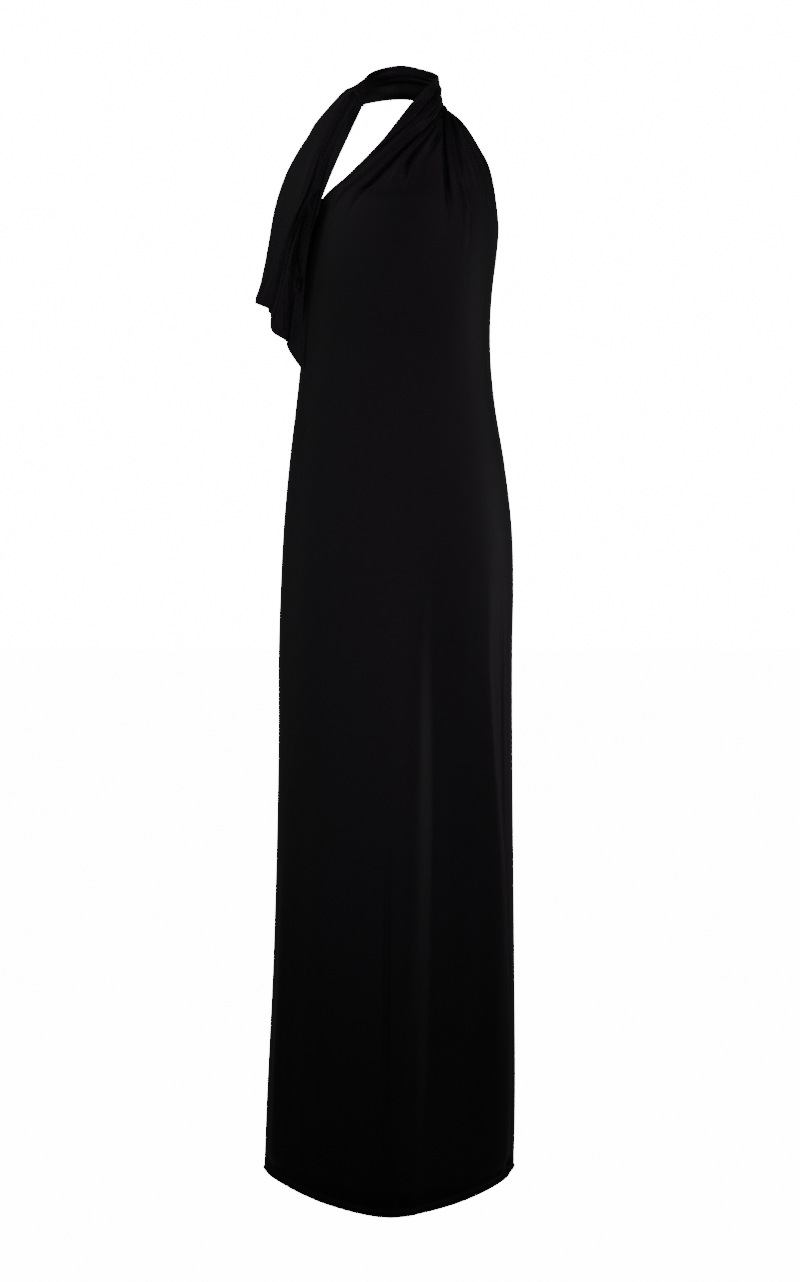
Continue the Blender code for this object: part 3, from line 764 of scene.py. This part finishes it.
# as the front's creases: here the place is the share of the way down from the neck
CAPE_CREASES = (
    # The long fold beside the front edge, the fold that branches from it, and the slit between.
    (-5.4, 2.6, 3.8, pinched, 0.14,
     ((0.06, 0.330), (0.18, 0.312), (0.233, 0.288), (0.284, 0.276), (0.337, 0.263), (0.392, 0.240),
      (0.44, 0.228), (0.494, 0.247), (0.547, 0.288), (0.602, 0.324), (0.666, 0.353), (0.75, 0.365),
      (0.85, 0.365), (1.10, 0.365))),
    (-5.0, 1.8, 3.0, pinched, 0.10,
     ((0.48, 0.130), (0.502, 0.147), (0.532, 0.176), (0.578, 0.218), (0.626, 0.241), (0.682, 0.253),
      (0.757, 0.253), (0.841, 0.224), (0.911, 0.212), (1.10, 0.205))),
    (-5.0, 1.8, 2.8, pinched, 0.05,
     ((0.52, 0.112), (0.571, 0.140), (0.61, 0.155), (0.642, 0.150), (0.69, 0.124), (0.732, 0.094), (0.765, 0.071))),
    (4.6, 6.0, 7.0, soft, 0.035, ((0.75, 0.070), (0.785, 0.080), (0.83, 0.090))),
    (-3.0, 3.0, 3.0, pinched, 0.03, ((0.45, 0.090), (0.479, 0.106), (0.494, 0.112), (0.517, 0.100), (0.54, 0.05))),
    (2.2, 5.0, 5.0, soft, 0.14, ((0.12, 0.130), (0.25, 0.130), (0.40, 0.110), (0.52, 0.060), (0.70, 0.04))),
    (2.4, 4.0, 4.0, soft, 0.12, ((0.58, 0.200), (0.69, 0.190), (0.78, 0.160), (1.05, 0.150))),
    (2.6, 4.0, 4.0, soft, 0.14, ((0.50, 0.200), (0.60, 0.270), (0.75, 0.310), (1.05, 0.290))),
    # The crest of the outer fold, the drag line above it and the hollow behind.
    (2.4, 6.0, 5.0, pinched, 0.10, ((0.42, 0.445), (0.63, 0.445), (0.75, 0.445), (0.90, 0.445), (1.05, 0.445))),
    (-3.4, 6.0, 9.0, soft, 0.10, ((0.42, 0.480), (0.63, 0.480), (0.75, 0.478), (0.90, 0.478), (1.05, 0.478))),
    (2.6, 7.0, 7.0, soft, 0.06, ((0.12, 0.345), (0.19, 0.375), (0.25, 0.420), (0.32, 0.445))),
    (-2.6, 8.0, 8.0, soft, 0.05, ((0.04, 0.400), (0.10, 0.440), (0.18, 0.500), (0.28, 0.560))),
    # The softer folds at the back.
    (-8.0, 13.0, 13.0, soft, 0.50, ((0.12, 0.560), (0.55, 0.560), (1.50, 0.560))),
    (9.0, 13.0, 13.0, soft, 0.50, ((0.12, 0.630), (0.55, 0.630), (1.50, 0.630))),
    (-9.0, 13.0, 13.0, soft, 0.50, ((0.12, 0.700), (0.55, 0.700), (1.50, 0.700))),
    (10.0, 14.0, 14.0, soft, 0.50, ((0.12, 0.775), (0.55, 0.775), (1.50, 0.775))),
    (-9.0, 14.0, 14.0, soft, 0.50, ((0.12, 0.850), (0.55, 0.850), (1.50, 0.850))),
    (8.0, 14.0, 14.0, soft, 0.50, ((0.12, 0.930), (0.55, 0.930), (1.50, 0.930))),
)


# %% Build the cape
def cape_grid():
    """The cape's points, and for each the share of the way down and the thread."""
    guides = np.array(CAPE_SECTIONS, float) / 1000.0
    thread = np.linspace(0.0, 1.0, CAPE_COLUMNS + 1) ** CAPE_COLUMN_CROWDING
    across = np.empty((len(CAPE_SECTIONS), len(thread), 3))
    for i in range(len(CAPE_SECTIONS)):
        for k in range(3):
            across[i, :, k] = through(CAPE_THREADS, guides[i, :, k], thread)
    down = np.linspace(0.0, 1.0, CAPE_ROWS + 1) ** CAPE_ROW_CROWDING
    grid = np.empty((len(down), len(thread), 3))
    for j in range(len(thread)):
        for k in range(3):
            grid[:, j, k] = through(CAPE_STATIONS, across[:, j, k], down)
    return grid, down[:, None], thread[None, :]


cape_base, cape_down, cape_thread = cape_grid()
cape_width = np.linalg.norm(np.gradient(cape_base, axis=1), axis=-1) / np.gradient(cape_thread[0])
cape_height = crease_relief(cape_down, cape_thread, cape_width, CAPE_CREASES)
cape_height *= CAPE_GATHERS + (1.0 - CAPE_GATHERS) * eased(0.0, 0.14, cape_down)
cape_height += turned_edge(distance_from_edge(cape_base, False, 0), 0.0050, 0.0004)
# The rows of this grid run down the cloth, so its own normal faces the wearer.
cape_points = (cape_base - outward(cape_base) * cape_height[..., None])[::-1]
cape_cloth = cloth("shoulder_cape_cloth", cape_points, cape_jersey)

# %% [markdown]
# ## Stitches
# Jersey hems are sewn with a twin needle: two rows of stitches side by side, which stretch with the
# knit. The neckline, armhole, back edge and cape edge have one row each. A stitch is a short length
# of thread that repeats along a path on the cloth, so Geometry Nodes lay the same small grain of
# thread at an even pitch along each path and turn it the way the path runs.

# %% The thread
STITCH_PITCH = 0.0030
STITCH_LENGTH = 0.0023
THREAD_RADIUS = 0.00022


def thread_material():
    """Black spun polyester sewing thread: a little glossier than the jersey, with fluff on it."""
    material = bpy.data.materials.new("black_polyester_thread")
    material.use_nodes = True
    tree = material.node_tree
    shader = tree.nodes["Principled BSDF"]
    shader.inputs["IOR"].default_value = 1.50
    shader.inputs["Specular IOR Level"].default_value = 0.30
    shader.inputs["Sheen Weight"].default_value = 0.05
    place = add_node(tree, "ShaderNodeTexCoord")
    fluff = add_node(
        tree, "ShaderNodeTexNoise", {"Scale": 2500.0, "Detail": 2.0}, {"Vector": place.outputs["Object"]},
    )
    ramp = add_node(tree, "ShaderNodeValToRGB", {}, {"Fac": fluff.outputs["Fac"]})
    ramp.color_ramp.elements[0].color = linear("#070708")
    ramp.color_ramp.elements[1].color = linear("#121214")
    tree.links.new(ramp.outputs["Color"], shader.inputs["Base Color"])
    gloss = add_node(
        tree, "ShaderNodeMapRange", {"To Min": 0.42, "To Max": 0.56}, {"Value": fluff.outputs["Fac"]},
    )
    tree.links.new(gloss.outputs["Result"], shader.inputs["Roughness"])
    return material


# %% A node tree that sews along a path
def sewing_tree():
    """Geometry Nodes that lay stitches along every edge path of a mesh."""
    tree = bpy.data.node_groups.new("row_of_stitches", "GeometryNodeTree")
    made = tree.interface
    made.new_socket("Geometry", in_out="INPUT", socket_type="NodeSocketGeometry")
    for name in ("Stitch pitch", "Stitch length", "Thread radius"):
        made.new_socket(name, in_out="INPUT", socket_type="NodeSocketFloat")
    made.new_socket("Thread", in_out="INPUT", socket_type="NodeSocketMaterial")
    made.new_socket("Geometry", in_out="OUTPUT", socket_type="NodeSocketGeometry")
    given = add_node(tree, "NodeGroupInput")
    path = add_node(tree, "GeometryNodeMeshToCurve", {}, {0: given.outputs["Geometry"]})
    even = add_node(tree, "GeometryNodeResampleCurve", {"mode": "LENGTH"}, {"Curve": path.outputs[0]})
    tree.links.new(given.outputs["Stitch pitch"], even.inputs["Length"])
    grain = add_node(tree, "GeometryNodeMeshIcoSphere", {"Radius": 1.0, "Subdivisions": 1})
    half = add_node(
        tree, "ShaderNodeMath", {"operation": "MULTIPLY", 1: 0.5}, {0: given.outputs["Stitch length"]},
    )
    size = add_node(
        tree, "ShaderNodeCombineXYZ", {},
        {"X": given.outputs["Thread radius"], "Y": given.outputs["Thread radius"], "Z": half.outputs[0]},
    )
    runs = add_node(tree, "GeometryNodeInputTangent")
    turned = add_node(
        tree, "FunctionNodeAlignRotationToVector", {"axis": "Z"}, {"Vector": runs.outputs["Tangent"]},
    )
    laid = add_node(
        tree, "GeometryNodeInstanceOnPoints", {},
        {"Points": even.outputs[0], "Instance": grain.outputs["Mesh"],
         "Rotation": turned.outputs["Rotation"], "Scale": size.outputs[0]},
    )
    real = add_node(tree, "GeometryNodeRealizeInstances", {}, {0: laid.outputs[0]})
    dyed = add_node(
        tree, "GeometryNodeSetMaterial", {},
        {"Geometry": real.outputs[0], "Material": given.outputs["Thread"]},
    )
    add_node(tree, "NodeGroupOutput", {}, {0: dyed.outputs[0]})
    return tree


STITCHES = sewing_tree()
THREAD = thread_material()


def sewn(name, paths):
    """Stitches along paths of points, as one plain mesh."""
    points, edges = [], []
    for path in paths:
        first = len(points)
        points += [tuple(p) for p in path]
        edges += [(first + i, first + i + 1) for i in range(len(path) - 1)]
    guide_mesh = bpy.data.meshes.new(name + "_guide")
    guide_mesh.from_pydata(points, edges, [])
    guide = bpy.data.objects.new(name + "_guide", guide_mesh)
    bpy.context.scene.collection.objects.link(guide)
    sewing = guide.modifiers.new("Sewing", "NODES")
    sewing.node_group = STITCHES
    values = {
        "Stitch pitch": STITCH_PITCH, "Stitch length": STITCH_LENGTH,
        "Thread radius": THREAD_RADIUS, "Thread": THREAD,
    }
    for socket in STITCHES.interface.items_tree:
        if socket.in_out == "INPUT" and socket.name in values:
            sewing[socket.identifier] = values[socket.name]
    graph = bpy.context.evaluated_depsgraph_get()
    mesh = bpy.data.meshes.new_from_object(guide.evaluated_get(graph))
    mesh.name = name
    mesh.shade_smooth()
    bpy.data.objects.remove(guide)
    row = bpy.data.objects.new(name, mesh)
    bpy.context.scene.collection.objects.link(row)
    print(name, len(mesh.polygons), "faces in", len(paths), "rows")
    return row


def along_edge(points, first, axis, distance, kept=slice(None)):
    """A path on the cloth's outer face, at a distance from one of the grid's edges."""
    away = distance_from_edge(points, first, axis)
    face = points + outward(points) * (WALL / 2.0 + THREAD_RADIUS * 0.4)
    if axis == 1:
        away, face = away.T, face.transpose(1, 0, 2)
    order = slice(None) if first else slice(None, None, -1)
    path = np.stack(
        [[np.interp(distance, away[order, j], face[order, j, k]) for j in range(away.shape[1])] for k in range(3)],
        axis=-1,
    )
    return path[kept]


# %% Sew the four pieces
TWIN_ROWS = (0.0060, 0.0084)
EDGE_ROW = 0.0044
fan_rows = slice(len(front_points) - FAN_ROWS, None)
front_paths = [along_edge(front_points, True, 0, d) for d in TWIN_ROWS]
front_paths += [along_edge(front_points, side, 1, EDGE_ROW, fan_rows) for side in (True, False)]
front_stitches = sewn("front_panel_stitches", front_paths)
back_paths = [along_edge(back_points, True, 0, d) for d in TWIN_ROWS]
back_paths += [along_edge(back_points, False, 0, EDGE_ROW)]
back_stitches = sewn("back_panel_stitches", back_paths)
band_stitches = sewn("neck_band_stitches", [along_edge(band_points, True, 0, 0.0030)])
cape_stitches = sewn("shoulder_cape_stitches", [along_edge(cape_points, True, 0, EDGE_ROW)])

# %% [markdown]
# ## The floor, the light and the camera
# The dress hangs just above a plain pale floor. Eight softboxes of the same size stand round it in
# two rings, three high and five low. Black cloth shows only what its sheen sends back, so weak
# lights from several sides draw its contours and folds, and the high left and low left ones are
# the strongest. The camera stands three metres in front, a little above the waist, and looks
# slightly down.

# %% Floor and surroundings
def plain(name, colour, roughness, glow=0.0):
    """A plain painted surface."""
    material = bpy.data.materials.new(name)
    material.use_nodes = True
    shader = material.node_tree.nodes["Principled BSDF"]
    shader.inputs["Base Color"].default_value = linear(colour)
    shader.inputs["Roughness"].default_value = roughness
    shader.inputs["Emission Color"].default_value = linear(colour)
    shader.inputs["Emission Strength"].default_value = glow
    return material


FLOOR_Z = -1.562
floor_mesh = bpy.data.meshes.new("floor")
floor_mesh.from_pydata([(-6, -6, FLOOR_Z), (6, -6, FLOOR_Z), (6, 6, FLOOR_Z), (-6, 6, FLOOR_Z)], [], [(0, 1, 2, 3)])
floor_mesh.materials.append(plain("matt_white_floor_paint", "#f6f6f6", 0.9, 16.0))
floor = bpy.data.objects.new("floor", floor_mesh)
bpy.context.scene.collection.objects.link(floor)
floor.visible_diffuse = False
floor.visible_glossy = False

world = bpy.data.worlds.new("pale_studio")
bpy.context.scene.world = world
world.use_nodes = True
backdrop = world.node_tree.nodes["Background"]
backdrop.inputs["Color"].default_value = linear("#ffffff")
backdrop.inputs["Strength"].default_value = 16.0
room = add_node(world.node_tree, "ShaderNodeBackground", {"Color": linear("#ffffff"), "Strength": 0.084})
seen = add_node(world.node_tree, "ShaderNodeLightPath")
mixed = add_node(
    world.node_tree, "ShaderNodeMixShader", {},
    {0: seen.outputs["Is Camera Ray"], 1: room.outputs[0], 2: backdrop.outputs[0]},
)
world.node_tree.links.new(mixed.outputs[0], world.node_tree.nodes["World Output"].inputs["Surface"])


# %% Lights
def softbox(name, place, aim, width, height, power, spread):
    """A soft rectangular light that faces a point. spread is its beam in degrees."""
    light = bpy.data.lights.new(name, "AREA")
    light.shape = "RECTANGLE"
    light.size = width
    light.size_y = height
    light.energy = power
    light.spread = math.radians(spread)
    lamp = bpy.data.objects.new(name, light)
    bpy.context.scene.collection.objects.link(lamp)
    lamp.location = place
    direction = np.array(aim, float) - np.array(place, float)
    flat = math.hypot(direction[0], direction[1])
    lamp.rotation_euler = (math.pi / 2 + math.atan2(direction[2], flat), 0.0, math.atan2(-direction[0], direction[1]))
    return lamp


softbox("left_high_softbox", (1.286, -1.532, 0.90), (0.0, 0.0, 0.20), 0.6, 0.8, 2.75, 70.0)
softbox("right_front_high_softbox", (-1.286, -1.532, 0.90), (0.0, 0.0, 0.20), 0.6, 0.8, 1.56, 70.0)
softbox("right_high_softbox", (-2.0, 0.0, 0.90), (0.0, 0.0, 0.20), 0.6, 0.8, 1.45, 70.0)
softbox("front_low_softbox", (0.0, -2.0, -0.70), (0.0, 0.0, -0.75), 0.6, 0.8, 1.50, 75.0)
softbox("left_front_low_softbox", (1.286, -1.532, -0.70), (0.0, 0.0, -0.75), 0.6, 0.8, 0.60, 75.0)
softbox("right_front_low_softbox", (-1.286, -1.532, -0.70), (0.0, 0.0, -0.75), 0.6, 0.8, 1.00, 75.0)
softbox("right_low_softbox", (-2.0, 0.0, -0.70), (0.0, 0.0, -0.75), 0.6, 0.8, 0.78, 75.0)
softbox("left_low_softbox", (2.0, 0.0, -0.70), (0.0, 0.0, -0.75), 0.6, 0.8, 2.30, 75.0)

# %% Camera
camera_data = bpy.data.cameras.new("camera")
camera_data.lens = 60.34
camera_data.sensor_width = 36.0
camera = bpy.data.objects.new("camera", camera_data)
bpy.context.scene.collection.objects.link(camera)
camera.location = (-0.0014, -3.0, -0.37)
camera.rotation_euler = (math.radians(82.7), 0.0, 0.0)
bpy.context.scene.camera = camera

# %% [markdown]
# ## Hand the pieces to the frame
# Each sheet and its stitches are attached to the frame's root, and the CAD solid that the sheet
# replaces is hidden. The table also lists each sheet's finish slot, the piece it rests on, the size
# that it was cut to, because cloth keeps its length and width however it is gathered or hung, how it
# is held and its area. The loop below does not use these.

sheets = (
    (front_cloth, front_stitches, "front_panel", "front_jersey", "neck_band", (0.54, 1.74), "gathered", 0.72),
    (back_cloth, back_stitches, "back_panel", "back_jersey", "front_panel", (0.50, 1.36), "hung", 0.62),
    (band_cloth, band_stitches, "neck_band", "band_jersey", "front_panel", (0.17, 0.05), "hung", None),
    (cape_cloth, cape_stitches, "shoulder_cape", "cape_jersey", "neck_band", (0.40, 0.40), "draped", 0.092),
)
for piece, stitches, node, slot, rests_on, flat, held, area in sheets:
    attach(piece, "root")
    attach(stitches, "root")
    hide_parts(node)
